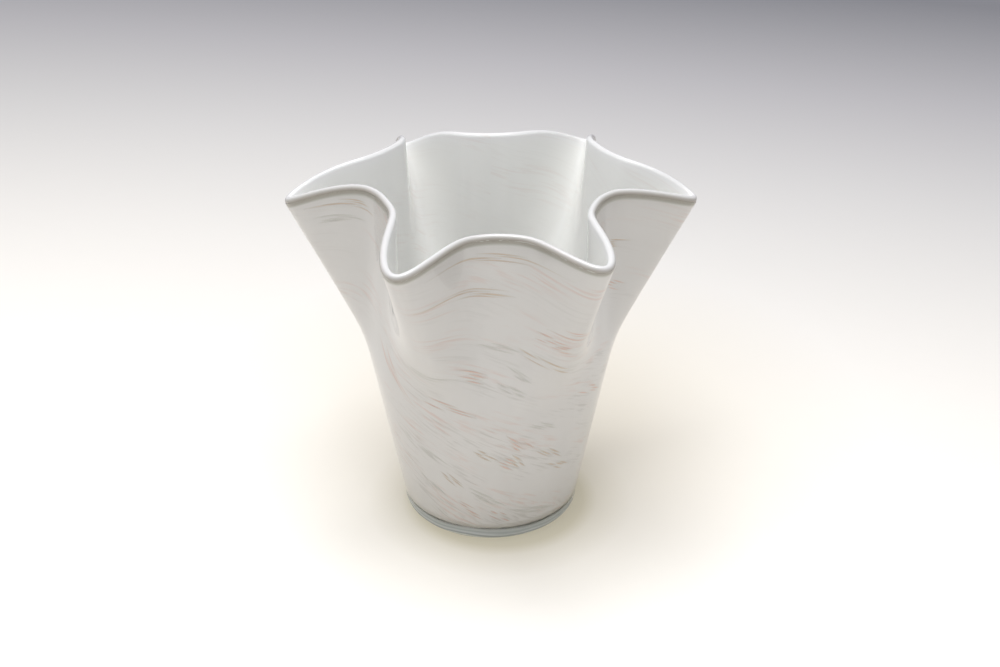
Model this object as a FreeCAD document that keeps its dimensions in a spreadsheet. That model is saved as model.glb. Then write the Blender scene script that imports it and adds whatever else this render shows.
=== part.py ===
import FreeCAD, Part
import math
import os

import Sketcher

# Hand-blown vase of cased glass with six ruffled lobes, in millimetres.
# A white opal lining stands inside a clear casing, and thin streaks of coloured glass lie between them.
# The origin is the middle of the flat foot, +Z is up, and lobe 1 points along +X.
# A place on the wall is an angle round the axis and a rise: 0 at the foot, 1 at the waist, 2 at the rim.
# From there, "out" is measured square to the wall from its middle and "up" along it, square to the rim.

SIZES = (
    ("foot_reach", 55.0, "axis to middle of wall at the foot"),
    ("waist_reach", 78.0, "axis to middle of wall where the lobes begin"),
    ("waist_height", 121.0, "height where the lobes begin"),
    ("tip_reach", 128.0, "axis to middle of wall at the tip of a lobe"),
    ("tip_height", 222.0, "height of the rim at the tip of a lobe"),
    ("fold_reach", 79.0, "axis to middle of wall in the fold between lobes"),
    ("fold_height", 238.0, "height of the rim in the fold"),
    ("wall_glass", 5.0, "whole thickness of the wall"),
    ("casing_glass", 2.0, "thickness of the clear casing in the wall"),
    ("foot_glass", 8.0, "thickness of the clear foot under the opal lining"),
    ("heel_radius", 6.0, "rounding of the foot's outer edge"),
    ("opal_floor", 3.5, "thickness of the opal lining's floor"),
    ("floor_corner", 14.0, "rounding between the inside floor and the wall"),
    ("streak_breadth", 2.4, "breadth of a coloured streak of share 1"),
    ("streak_depth", 0.8, "thickness of a coloured streak"),
    ("streak_clearance", 0.2, "clear glass between a streak and the opal lining"),
)

FULL_TURN = 2 * math.pi
LOBES = 6
# Each lobe was pulled by hand, so tips and folds stray from an even six: lobe 1 first, then round by +Y.
TIP_TURN_SHARES = (0.04, -0.02, -0.01, -0.04, 0.10, 0.02)
FOLD_TURN_SHARES = (0.49, 0.52, 0.42, 0.43, 0.54, 0.59)
TIP_REACH_SHARES = (1.02, 1.005, 0.965, 1.01, 1.02, 1.01)
FOLD_REACH_SHARES = (1.09, 0.97, 1.02, 0.93, 0.99, 0.93)
TIP_HEIGHT_SHARES = (1.00, 0.99, 0.98, 0.995, 1.02, 1.025)
FOLD_HEIGHT_SHARES = (1.005, 0.995, 1.005, 1.005, 0.98, 0.99)
# A lobe at the rim is a narrow finger, with the power of its tip, laid over a share of plain wave.
TIP_NARROWNESS = 4
WAVE_SHARE = 0.22
# The power by which the rim dips from a fold towards a tip.
DIP_NARROWNESS = 1.8
# How far below and above the waist, in rise, the wall bends smoothly.
WAIST_BEND = 0.12

RING_POINTS = 50 * LOBES
# Where the wall has rings: shares of the way up to the waist's bend, and from the bend to just below the lip.
BODY_SHARES = (0.15, 0.4, 0.7)
LOBE_SHARES = (0.1, 0.22, 0.36, 0.5, 0.65, 0.8, 0.92, 1)
STEP = 0.001

# The lip, in shares of the wall's thickness, and the wall's last ring, in depths of the lip.
LIP_DEPTHS = 1.5
LIP_STEP_SHARE = 0.1
UNDERCUT_SHARE = 0.7
CONTACT_DROP_SHARE = 0.1
EDGE_TUCK_SHARE = 0.06

STREAK_STATIONS = 9
STREAK_END_SHARE = 0.3
# Each streak: where it starts and ends (degrees round the axis, rise), and its breadth share.
AMBER_STREAKS = (
    (255, 1.89, 288, 1.86, 0.8),
    (255, 1.69, 286, 1.64, 0.9),
    (289, 1.28, 305, 1.16, 0.9),
    (264, 0.64, 273, 0.59, 0.8),
    (298, 0.62, 308, 0.54, 1.0),
    (305, 0.50, 315, 0.44, 0.8),
    (282, 0.59, 288, 0.53, 0.9),
    (243, 0.46, 252, 0.39, 0.9),
    (186, 1.91, 199, 1.88, 0.8),
    (339, 1.72, 348, 1.69, 0.8),
    (20, 1.20, 34, 1.08, 1.0),
    (70, 0.62, 82, 0.54, 0.9),
    (96, 1.50, 112, 1.42, 0.9),
    (150, 0.86, 162, 0.77, 1.0),
)
ROSE_STREAKS = (
    (209, 1.24, 227, 0.93, 1.2),
    (255, 1.19, 269, 1.13, 1.3),
    (241, 0.96, 257, 0.91, 1.2),
    (291, 1.43, 297, 1.41, 1.0),
    (298, 1.49, 312, 1.42, 1.0),
    (296, 1.38, 304, 1.35, 0.9),
    (281, 0.72, 290, 0.64, 1.3),
    (273, 0.60, 283, 0.54, 1.3),
    (253, 0.24, 265, 0.18, 1.1),
    (272, 0.20, 281, 0.15, 1.1),
    (319, 0.94, 333, 0.86, 1.0),
    (344, 1.46, 352, 1.40, 1.0),
    (44, 0.44, 56, 0.36, 1.2),
    (124, 1.16, 136, 1.05, 1.1),
)
SMOKE_STREAKS = (
    (266, 1.36, 281, 1.31, 0.7),
    (281, 1.18, 290, 1.10, 0.7),
    (277, 1.08, 287, 1.01, 0.7),
    (237, 1.18, 253, 1.15, 0.7),
    (292, 0.81, 301, 0.76, 0.8),
    (228, 0.39, 238, 0.31, 0.7),
    (262, 0.34, 277, 0.26, 0.8),
    (284, 0.22, 308, 0.16, 0.7),
    (217, 0.66, 227, 0.59, 0.7),
    (227, 0.62, 241, 0.54, 0.7),
    (186, 1.82, 194, 1.80, 0.7),
    (4, 0.70, 16, 0.62, 0.8),
    (84, 1.05, 98, 0.96, 0.8),
    (170, 0.34, 184, 0.27, 0.8),
)


def make_sheet(doc):
    """The sheet of driving sizes, one named cell to a row."""
    sheet = doc.addObject("Spreadsheet::Sheet", "sizes")
    for row, (name, value, note) in enumerate(SIZES, start=1):
        sheet.set(f"A{row}", note)
        sheet.set(f"B{row}", str(value))
        sheet.setAlias(f"B{row}", name)
    doc.recompute()
    return sheet


class Wall:
    """The middle of the vase's wall, and the lines offset from it, worked out from the sheet."""

    def __init__(self, sheet):
        for name, _, _ in SIZES:
            setattr(self, name, float(getattr(sheet, name)))
        self.half = self.wall_glass / 2
        self.layer_out = self.half - self.casing_glass
        self.crests = self.list_crests()

    def list_crests(self):
        """Tips and folds by turns round the rim, each (angle, is_tip, reach, height)."""
        crests = []
        for lobe in range(LOBES):
            tip_angle = (lobe + TIP_TURN_SHARES[lobe]) * FULL_TURN / LOBES
            tip = (tip_angle, True, self.tip_reach * TIP_REACH_SHARES[lobe],
                   self.tip_height * TIP_HEIGHT_SHARES[lobe])
            fold_angle = (lobe + FOLD_TURN_SHARES[lobe]) * FULL_TURN / LOBES
            fold = (fold_angle, False, self.fold_reach * FOLD_REACH_SHARES[lobe],
                    self.fold_height * FOLD_HEIGHT_SHARES[lobe])
            crests += [tip, fold]
        return crests

    def between(self, angle):
        """The tip and the fold on either side of an angle, and the share of the way from tip to fold."""
        start = self.crests[0][0]
        turned = start + (angle - start) % FULL_TURN
        for index, before in enumerate(self.crests):
            after = self.crests[(index + 1) % len(self.crests)]
            span = (after[0] - before[0]) % FULL_TURN
            if turned - before[0] <= span:
                way = (turned - before[0]) / span
                break
        if before[1]:
            return before, after, way
        return after, before, 1 - way

    def middle(self, angle, rise):
        """A point of the wall's middle: a plain cone up to the waist, then lobes that grow to the rim."""
        sunk, grown = eased(1 - rise), eased(rise - 1)
        tip, fold, way = self.between(angle)
        wave = (1 + math.cos(math.pi * way)) / 2
        lobe = self.lobe_share(wave, grown)
        rim_reach = fold[2] + (tip[2] - fold[2]) * lobe
        rim_height = fold[3] + (tip[3] - fold[3]) * self.lobe_share(wave, 1) ** DIP_NARROWNESS
        reach = self.waist_reach + (self.foot_reach - self.waist_reach) * sunk
        reach += (rim_reach - self.waist_reach) * grown
        height = self.waist_height * (1 - sunk) + (rim_height - self.waist_height) * grown
        return FreeCAD.Vector(reach * math.cos(angle), reach * math.sin(angle), height)

    def lobe_share(self, wave, grown):
        """How far the wall stands out from fold to tip: a plain wave at the waist, a finger at the rim."""
        power = 1 + (TIP_NARROWNESS - 1) * grown
        return WAVE_SHARE * wave + (1 - WAVE_SHARE) * wave ** power

    def frame(self, angle, rise):
        """The wall's middle point there, with its outward direction and its upward one, square to the rim."""
        along = self.middle(angle + STEP, rise) - self.middle(angle - STEP, rise)
        rising = self.middle(angle, rise + STEP) - self.middle(angle, rise - STEP)
        outward = along.cross(rising).normalize()
        upward = outward.cross(along).normalize()
        return self.middle(angle, rise), outward, upward

    def point(self, angle, rise, out, up=0):
        middle, outward, upward = self.frame(angle, rise)
        return middle + outward * out + upward * up

    def flare(self):
        """The angle of the plain body's wall from upright."""
        return math.atan2(self.waist_reach - self.foot_reach, self.waist_height)

    def radius_at(self, height, out):
        """The plain body's radius at a height below the waist, on the line "out" from the wall's middle."""
        rise = height / self.waist_height
        return self.foot_reach + (self.waist_reach - self.foot_reach) * rise + out / math.cos(self.flare())

    def ring(self, rise, out, up=0):
        """A closed smooth curve round the wall."""
        angles = [FULL_TURN * index / RING_POINTS for index in range(RING_POINTS)]
        return closed_curve([self.point(angle, rise, out, up) for angle in angles])

    def rings_above(self, height, out):
        """Rings from just above a height of the plain body up to just below the lip."""
        start, bend = height / self.waist_height, 1 - WAIST_BEND
        rises = [start + (bend - start) * share for share in BODY_SHARES]
        rises += [bend, 1 - WAIST_BEND / 3, 1 + WAIST_BEND / 3]
        start, end = 1 + WAIST_BEND, self.last_rise()
        rises += [start] + [start + (end - start) * share for share in LOBE_SHARES]
        return [self.ring(rise, out) for rise in rises]

    def last_rise(self):
        """The rise of the highest ring that is still clear of the lip where the wall is shortest."""
        lip_depth = bead(self)[1] + UNDERCUT_SHARE * self.wall_glass
        shortest = min(crest[3] for crest in self.crests) - self.waist_height
        return 2 - LIP_DEPTHS * lip_depth / shortest

    def level_ring(self, radius, height):
        """A level round ring with the same number of points as the others."""
        angles = [FULL_TURN * index / RING_POINTS for index in range(RING_POINTS)]
        points = [FreeCAD.Vector(radius * math.cos(a), radius * math.sin(a), height) for a in angles]
        return closed_curve(points)

    def corner_rings(self, floor, out, radius, angles):
        """Level rings round the corner between a floor and the wall, at angles from the floor's edge."""
        edge = self.radius_at(floor + radius, out)
        rings = []
        for degrees in angles:
            turn = math.radians(degrees)
            reach = edge - radius + radius * math.sin(turn)
            rings.append(self.level_ring(reach, floor + radius * (1 - math.cos(turn))))
        return rings


def eased(share):
    """A share that stays at zero below the waist's bend and runs straight on above it, with no corner."""
    if abs(share) < WAIST_BEND:
        return (share + WAIST_BEND) ** 2 / (4 * WAIST_BEND)
    return max(share, 0)


def closed_curve(points):
    """A closed smooth curve through the points, cut into one edge for each lobe."""
    shares = [index / len(points) for index in range(len(points) + 1)]
    curve = Part.BSplineCurve()
    curve.interpolate(Points=points, PeriodicFlag=True, Parameters=shares)
    cuts = [lobe / LOBES for lobe in range(LOBES + 1)]
    return Part.Wire([curve.toShape(first, last) for first, last in zip(cuts, cuts[1:])])


def skinned(doc, name, rings):
    """An open smooth skin over a run of rings, with one face for each lobe."""
    sections = []
    for index, ring in enumerate(rings, start=1):
        section = doc.addObject("Part::Feature", f"{name}_ring_{index:02d}")
        section.Shape = ring
        sections.append(section)
    skin = doc.addObject("Part::Loft", name)
    skin.Sections = sections
    skin.Solid = False
    skin.Ruled = False
    return skin


def bead(wall):
    """The round white lip: how far out it reaches, its radius, and the out of its centre."""
    bead_out = wall.half - LIP_STEP_SHARE * wall.wall_glass
    radius = (bead_out + wall.half) / 2
    return bead_out, radius, bead_out - radius


def contact_ring(wall):
    """The line under the white lip where the clear casing's top edge ends on it."""
    bead_out, radius, _ = bead(wall)
    return wall.ring(2, bead_out, -radius - CONTACT_DROP_SHARE * wall.wall_glass)


def layer_rings(wall):
    """The face between opal lining and clear casing, from the lining's floor up to the lip."""
    bead_out, radius, _ = bead(wall)
    corner = wall.floor_corner - wall.wall_glass
    rings = wall.corner_rings(wall.foot_glass, wall.layer_out, corner, (0, 30, 60, 90))
    rings += wall.rings_above(wall.foot_glass + corner, wall.layer_out)
    undercut = UNDERCUT_SHARE * wall.wall_glass
    middle_out = (wall.layer_out + bead_out) / 2
    rings.append(wall.ring(2, wall.layer_out, -radius - undercut))
    rings.append(wall.ring(2, middle_out, -radius - undercut / 2))
    return rings + [contact_ring(wall)]


def inside_rings(wall):
    """The lining's own face: from the contact line over the white lip and down to the inside floor."""
    _, radius, middle_out = bead(wall)
    rings = [contact_ring(wall)]
    for degrees in (0, 45, 90, 135, 180):
        turn = math.radians(degrees)
        rings.append(wall.ring(2, middle_out + radius * math.cos(turn), radius * (math.sin(turn) - 1)))
    floor = wall.foot_glass + wall.opal_floor
    rings += reversed(wall.rings_above(floor + wall.floor_corner, -wall.half))
    return rings + wall.corner_rings(floor, -wall.half, wall.floor_corner, (90, 60, 30, 0))


def outside_rings(wall):
    """The casing's own face: from the top of the foot up to its rounded edge under the white lip."""
    _, radius, _ = bead(wall)
    tuck = EDGE_TUCK_SHARE * wall.wall_glass
    drop = radius + CONTACT_DROP_SHARE * wall.wall_glass
    rings = [wall.level_ring(wall.radius_at(wall.foot_glass, wall.half), wall.foot_glass)]
    rings += wall.rings_above(wall.foot_glass, wall.half)
    rings.append(wall.ring(2, wall.half, -drop - tuck * 6))
    rings.append(wall.ring(2, wall.half, -drop - tuck * 3))
    rings.append(wall.ring(2, wall.half - tuck / 2, -drop - tuck))
    return rings + [contact_ring(wall)]


def sewn_solid(faces, hollows=()):
    """A solid closed by faces that share their edges, with any sealed hollows inside it."""
    shell = Part.makeShell(faces)
    shell.sewShape()
    solid = Part.Solid(shell.Shells[0])
    if solid.Volume < 0:
        solid.reverse()
    if not hollows:
        return solid
    inner = [hollow.Shells[0].reversed() for hollow in hollows]
    return Part.Solid(Part.Compound([solid.Shells[0]] + inner))


def end_disc(skin_shape, height):
    """The flat round face that closes a skin at a height."""
    rim = [edge for edge in skin_shape.Edges
           if abs(edge.BoundBox.ZMax - height) < STEP and edge.BoundBox.ZLength < STEP]
    return Part.Face(Part.Wire(Part.sortEdges(rim)[0]))


def make_foot_blank(doc, wall):
    """The thick clear foot, turned about the axis: flat below, with a rounded heel."""
    body = doc.addObject("PartDesign::Body", "foot_blank")
    sketch = body.newObject("Sketcher::SketchObject", "foot_profile")
    plane = [item for item in body.Origin.OriginFeatures if item.Role == "XZ_Plane"][0]
    sketch.AttachmentSupport = (plane, [""])
    sketch.MapMode = "FlatFace"

    top = wall.radius_at(wall.foot_glass, wall.half)
    flat = top - wall.heel_radius
    at = FreeCAD.Vector
    flare = wall.flare()
    heel = Part.Circle(at(flat, wall.heel_radius, 0), at(0, 0, 1), wall.heel_radius)
    heel_arc = Part.ArcOfCircle(heel, -math.pi / 2, -flare)
    heel_end = heel_arc.EndPoint
    outline = [
        Part.LineSegment(at(0, 0, 0), at(flat, 0, 0)),
        heel_arc,
        Part.LineSegment(heel_end, at(top, wall.foot_glass, 0)),
        Part.LineSegment(at(top, wall.foot_glass, 0), at(0, wall.foot_glass, 0)),
        Part.LineSegment(at(0, wall.foot_glass, 0), at(0, 0, 0)),
    ]
    sketch.addGeometry(outline, False)
    base, arc, side, lid, axis = range(5)
    first, last = 1, 2
    rule = Sketcher.Constraint
    sketch.addConstraint([
        rule("Coincident", base, first, -1, 1),
        rule("Horizontal", base),
        rule("Tangent", base, last, arc, first),
        rule("Tangent", arc, last, side, first),
        rule("Coincident", side, last, lid, first),
        rule("Horizontal", lid),
        rule("Coincident", lid, last, axis, first),
        rule("Coincident", axis, last, base, first),
        rule("Vertical", axis),
    ])
    slope = "(sizes.waist_reach - sizes.foot_reach) / sizes.waist_height"
    driving = (
        ("heel", rule("Radius", arc, wall.heel_radius), "sizes.heel_radius"),
        ("thick", rule("DistanceY", -1, 1, side, last, wall.foot_glass), "sizes.foot_glass"),
        ("reach", rule("DistanceX", -1, 1, side, last, top),
         f"sizes.foot_reach + {slope} * sizes.foot_glass + sizes.wall_glass / 2 / cos(atan({slope}))"),
        ("lean", rule("Angle", side, math.pi / 2 - flare), f"90 deg - atan({slope})"),
    )
    for name, constraint, formula in driving:
        index = sketch.addConstraint(constraint)
        sketch.renameConstraint(index, name)
        sketch.setExpression(f"Constraints.{name}", formula)

    turned = body.newObject("PartDesign::Revolution", "foot_turned")
    turned.Profile = sketch
    turned.ReferenceAxis = (sketch, ["V_Axis"])
    turned.Angle = 360
    doc.recompute()
    return body


def make_opal_lining(doc, wall, layer, inside):
    """The white inner cup with its round lip."""
    floor = wall.foot_glass + wall.opal_floor
    faces = layer.Shape.Faces + inside.Shape.Faces
    faces.append(end_disc(layer.Shape, wall.foot_glass))
    faces.append(end_disc(inside.Shape, floor))
    lining = doc.addObject("Part::Feature", "opal_lining")
    lining.Shape = sewn_solid(faces)
    lining.Placement = FreeCAD.Placement()
    return lining


def make_clear_casing(doc, wall, layer, streaks):
    """The clear outer cup on its thick foot, with a sealed hollow for every streak."""
    foot = make_foot_blank(doc, wall)
    outside = skinned(doc, "outside_skin", outside_rings(wall))
    doc.recompute()
    foot_faces = [face for face in foot.Shape.Faces if face.BoundBox.ZMin < wall.foot_glass - STEP]
    faces = foot_faces + outside.Shape.Faces + layer.Shape.Faces
    faces.append(end_disc(layer.Shape, wall.foot_glass))
    casing = doc.addObject("Part::Feature", "clear_casing")
    casing.Shape = sewn_solid(faces, [streak.Shape for streak in streaks])
    casing.Placement = FreeCAD.Placement()
    return casing


def streak_shape(wall, start_degrees, start_rise, end_degrees, end_rise, breadth_share):
    """A long thin ribbon of glass, drawn to narrow ends, that follows the outside of the opal lining."""
    half_breadth = wall.streak_breadth * breadth_share / 2
    half_depth = wall.streak_depth / 2
    sections = []
    for station in range(STREAK_STATIONS):
        way = station / (STREAK_STATIONS - 1)
        taper = STREAK_END_SHARE + (1 - STREAK_END_SHARE) * math.sin(math.pi * way) ** 0.7
        here, outward, along = streak_frame(wall, start_degrees, start_rise, end_degrees, end_rise, way)
        across = outward.cross(along).normalize()
        side = across * half_breadth * taper
        lift = outward * half_depth * taper
        corners = [here - side - lift, here + side - lift, here + side + lift, here - side + lift]
        sections.append(Part.makePolygon(corners + corners[:1]))
    return Part.makeLoft(sections, True, False)


def streak_frame(wall, start_degrees, start_rise, end_degrees, end_rise, way):
    """A point of a streak's path, with the outward direction and the direction of the path there."""
    def place(share):
        angle = math.radians(start_degrees + (end_degrees - start_degrees) * share)
        return angle, start_rise + (end_rise - start_rise) * share
    out = wall.layer_out + wall.streak_depth / 2 + wall.streak_clearance
    here = wall.point(*place(way), out)
    along = wall.point(*place(way + STEP), out) - wall.point(*place(way - STEP), out)
    outward = wall.frame(*place(way))[1]
    return here, outward, along.normalize()


def make_streaks(doc, wall):
    """Every coloured streak, numbered by colour."""
    streaks = []
    for colour, rows in (("amber", AMBER_STREAKS), ("rose", ROSE_STREAKS), ("smoke", SMOKE_STREAKS)):
        for number, row in enumerate(rows, start=1):
            streak = doc.addObject("Part::Feature", f"{colour}_streak_{number:02d}")
            streak.Shape = streak_shape(wall, *row)
            streak.Placement = FreeCAD.Placement()
            streaks.append(streak)
    return streaks


def check(doc, pieces):
    """Stops with a plain message if anything failed to build."""
    for item in doc.Objects:
        if {"Invalid", "Error"} & set(item.State):
            raise RuntimeError(f"{item.Label} failed: {item.State}")
    for piece in pieces:
        shape = piece.Shape
        if shape.isNull() or not shape.isValid() or len(shape.Solids) != 1:
            raise RuntimeError(f"{piece.Label} isn't one good solid")


def main():
    doc = FreeCAD.newDocument("ruffled_vase")
    wall = Wall(make_sheet(doc))
    layer = skinned(doc, "layer_skin", layer_rings(wall))
    inside = skinned(doc, "inside_skin", inside_rings(wall))
    doc.recompute()
    streaks = make_streaks(doc, wall)
    opal_lining = make_opal_lining(doc, wall, layer, inside)
    clear_casing = make_clear_casing(doc, wall, layer, streaks)
    pieces = [opal_lining, clear_casing] + streaks
    check(doc, pieces)
    os.makedirs("parts", exist_ok=True)
    for piece in pieces:
        piece.Shape.exportStep(f"parts/{piece.Label}.step")
    print(f"{len(pieces)} pieces written")


main()
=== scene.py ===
import logging
import math
import random
from dataclasses import dataclass, field
from enum import Enum

import bpy
import numpy as np
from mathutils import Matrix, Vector


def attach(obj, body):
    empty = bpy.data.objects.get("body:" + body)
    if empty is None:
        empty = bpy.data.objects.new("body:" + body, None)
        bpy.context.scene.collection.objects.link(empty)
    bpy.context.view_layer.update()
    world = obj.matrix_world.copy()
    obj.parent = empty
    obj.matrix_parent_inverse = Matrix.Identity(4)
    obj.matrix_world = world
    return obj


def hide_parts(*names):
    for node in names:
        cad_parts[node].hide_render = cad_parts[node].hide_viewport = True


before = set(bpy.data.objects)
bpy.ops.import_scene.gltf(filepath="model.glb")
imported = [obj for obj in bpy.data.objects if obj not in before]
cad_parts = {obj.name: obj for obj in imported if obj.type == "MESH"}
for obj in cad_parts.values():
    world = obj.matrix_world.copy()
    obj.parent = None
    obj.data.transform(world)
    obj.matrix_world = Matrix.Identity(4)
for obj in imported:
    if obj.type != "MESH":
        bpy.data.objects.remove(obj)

LOG = logging.getLogger("ruffled_vase")
FULL_TURN = 2 * math.pi
QUARTER_TURN = math.pi / 2
BODY = "root"
# Rises on the wall. The finish's map goes on over the lip, and runs down inside as INSIDE_MAP less the rise.
WAIST = 1.0
RIM = 2.0
LAST_RING = 1.94
INSIDE_MAP = 4.1
MAP_SHARE = 0.25
EVEN = (1.0, 1.0, 1.0)
GLASS_REFRACTION = 1.5
MIX_FACTOR, MIX_FIRST, MIX_SECOND, MIX_RESULT = 0, 6, 7, 2
Colour = tuple[int, int, int]
Place = tuple[float, float, float]
Ink = tuple[float, float, float, float]
Stops = tuple[tuple[float, float], ...]
Tones = tuple[tuple[float, Colour], ...]
Socket = bpy.types.NodeSocket


def linear(red: int, green: int, blue: int) -> Ink:
    """A screen colour, 0 to 255, as the linear colour that a shader takes.

    Args:
        red: Red as seen on screen.
        green: Green as seen on screen.
        blue: Blue as seen on screen.

    Returns:
        Linear red, green, blue and full alpha.
    """
    full, foot, slope, lift, power = 255, 0.04045, 12.92, 0.055, 2.4
    parts = []
    for value in (red, green, blue):
        share = value / full
        parts.append(share / slope if share <= foot else ((share + lift) / (1 + lift)) ** power)
    return parts[0], parts[1], parts[2], 1.0


@dataclass(frozen=True)
class Crest:
    """The tip of a lobe, or the fold between two lobes, at the rim."""

    angle: float
    is_tip: bool
    reach: float
    height: float


@dataclass
class Wall:
    """The middle of the vase's wall, and the lines offset from it.

    A place is an angle round the axis and a rise: 0 at the foot, 1 at the waist, 2 at the rim. The lobes'
    shares are the part's own, fitted to the rim in the photo and rounded.
    """

    foot_reach: float = 0.055
    waist_reach: float = 0.078
    waist_height: float = 0.121
    tip_reach: float = 0.128
    tip_height: float = 0.222
    fold_reach: float = 0.079
    fold_height: float = 0.238
    wall_glass: float = 0.005
    casing_glass: float = 0.002
    foot_glass: float = 0.008
    heel_radius: float = 0.006
    opal_floor: float = 0.0035
    floor_corner: float = 0.014
    lobes: int = 6
    tip_turn_shares: tuple[float, ...] = (0.04, -0.02, -0.01, -0.04, 0.10, 0.02)
    fold_turn_shares: tuple[float, ...] = (0.49, 0.52, 0.42, 0.43, 0.54, 0.59)
    tip_reach_shares: tuple[float, ...] = (1.02, 1.005, 0.965, 1.01, 1.02, 1.01)
    fold_reach_shares: tuple[float, ...] = (1.09, 0.97, 1.02, 0.93, 0.99, 0.93)
    tip_height_shares: tuple[float, ...] = (1.00, 0.99, 0.98, 0.995, 1.02, 1.025)
    fold_height_shares: tuple[float, ...] = (1.005, 0.995, 1.005, 1.005, 0.98, 0.99)
    tip_narrowness: float = 4.0
    wave_share: float = 0.22
    dip_narrowness: float = 1.8
    waist_bend: float = 0.12
    step: float = 0.001
    crests: list[Crest] = field(init=False)

    def __post_init__(self) -> None:
        """Lists the tips and folds by turns round the rim."""
        self.crests = []
        for lobe in range(self.lobes):
            for is_tip, turns, reach, reaches, height, heights in (
                (True, self.tip_turn_shares, self.tip_reach, self.tip_reach_shares,
                 self.tip_height, self.tip_height_shares),
                (False, self.fold_turn_shares, self.fold_reach, self.fold_reach_shares,
                 self.fold_height, self.fold_height_shares),
            ):
                angle = (lobe + turns[lobe]) * FULL_TURN / self.lobes
                self.crests.append(Crest(angle, is_tip, reach * reaches[lobe], height * heights[lobe]))
        self.angles = np.array([crest.angle for crest in self.crests])
        self.reaches = np.array([crest.reach for crest in self.crests])
        self.heights = np.array([crest.height for crest in self.crests])
        self.tips = np.array([crest.is_tip for crest in self.crests])

    @property
    def half(self) -> float:
        """Half the wall's thickness."""
        return self.wall_glass / 2

    @property
    def layer_out(self) -> float:
        """How far out from the wall's middle the opal ends and the clear glass starts."""
        return self.half - self.casing_glass

    @property
    def flare(self) -> float:
        """The angle of the plain body's wall from upright."""
        return math.atan2(self.waist_reach - self.foot_reach, self.waist_height)

    def radius_at(self, height: float, out: float) -> float:
        """The plain body's radius at a height below the waist.

        Args:
            height: Height above the floor.
            out: Distance square to the wall from its middle.

        Returns:
            The radius.
        """
        rise = height / self.waist_height
        return self.foot_reach + (self.waist_reach - self.foot_reach) * rise + out / math.cos(self.flare)

    def middle(self, angle: np.ndarray, rise: np.ndarray) -> np.ndarray:
        """Points of the wall's middle.

        Args:
            angle: Angles round the axis.
            rise: A rise for each angle.

        Returns:
            One point to a row.
        """
        count = len(self.crests)
        turned = self.angles[0] + (angle - self.angles[0]) % FULL_TURN
        before = np.searchsorted(self.angles, turned, side="right") - 1
        after = (before + 1) % count
        span = (self.angles[after] - self.angles[before]) % FULL_TURN
        way = (turned - self.angles[before]) / span
        from_tip = self.tips[before]
        way = np.where(from_tip, way, 1 - way)
        tip = np.where(from_tip, before, after)
        fold = np.where(from_tip, after, before)
        sunk, grown = self.eased(1 - rise), self.eased(rise - 1)
        wave = (1 + np.cos(math.pi * way)) / 2
        lobe = self.lobe_share(wave, grown)
        rim_lobe = self.lobe_share(wave, np.ones_like(grown)) ** self.dip_narrowness
        rim_reach = self.reaches[fold] + (self.reaches[tip] - self.reaches[fold]) * lobe
        rim_height = self.heights[fold] + (self.heights[tip] - self.heights[fold]) * rim_lobe
        reach = self.waist_reach + (self.foot_reach - self.waist_reach) * sunk
        reach = reach + (rim_reach - self.waist_reach) * grown
        height = self.waist_height * (1 - sunk) + (rim_height - self.waist_height) * grown
        return np.stack([reach * np.cos(angle), reach * np.sin(angle), height], axis=-1)

    def eased(self, share: np.ndarray) -> np.ndarray:
        """A share that stays at zero below the waist's bend and runs straight on above it.

        Args:
            share: Plain shares, negative below the waist.

        Returns:
            The eased shares.
        """
        bend = self.waist_bend
        return np.where(np.abs(share) < bend, (share + bend) ** 2 / (4 * bend), np.maximum(share, 0))

    def lobe_share(self, wave: np.ndarray, grown: np.ndarray) -> np.ndarray:
        """How far the wall stands out from fold to tip: a plain wave at the waist, a finger at the rim.

        Args:
            wave: The plain wave, 0 in a fold and 1 at a tip.
            grown: How far the lobes have grown, 0 at the waist.

        Returns:
            The shares.
        """
        power = 1 + (self.tip_narrowness - 1) * grown
        return self.wave_share * wave + (1 - self.wave_share) * wave ** power

    def directions(self, angle: np.ndarray, rise: np.ndarray) -> tuple[np.ndarray, np.ndarray]:
        """The outward and upward directions of the wall.

        Args:
            angle: Angles round the axis.
            rise: A rise for each angle.

        Returns:
            Unit vectors out from the wall, and up along it, one to a row.
        """
        along = self.middle(angle + self.step, rise) - self.middle(angle - self.step, rise)
        rising = self.middle(angle, rise + self.step) - self.middle(angle, rise - self.step)
        outward = np.cross(along, rising)
        outward /= np.linalg.norm(outward, axis=-1, keepdims=True)
        upward = np.cross(outward, along)
        upward /= np.linalg.norm(upward, axis=-1, keepdims=True)
        return outward, upward

    def point(self, angle: np.ndarray, rise: np.ndarray, out: float, up: float = 0.0) -> np.ndarray:
        """Points offset from the wall's middle.

        Args:
            angle: Angles round the axis.
            rise: A rise for each angle.
            out: Distance square to the wall.
            up: Distance along the wall, square to the rim.

        Returns:
            One point to a row.
        """
        outward, upward = self.directions(angle, rise)
        return self.middle(angle, rise) + outward * out + upward * up


@dataclass(frozen=True)
class Row:
    """One ring of a skin: its points, and how far along the profile it lies for the finish."""

    points: np.ndarray
    along: float


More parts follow.
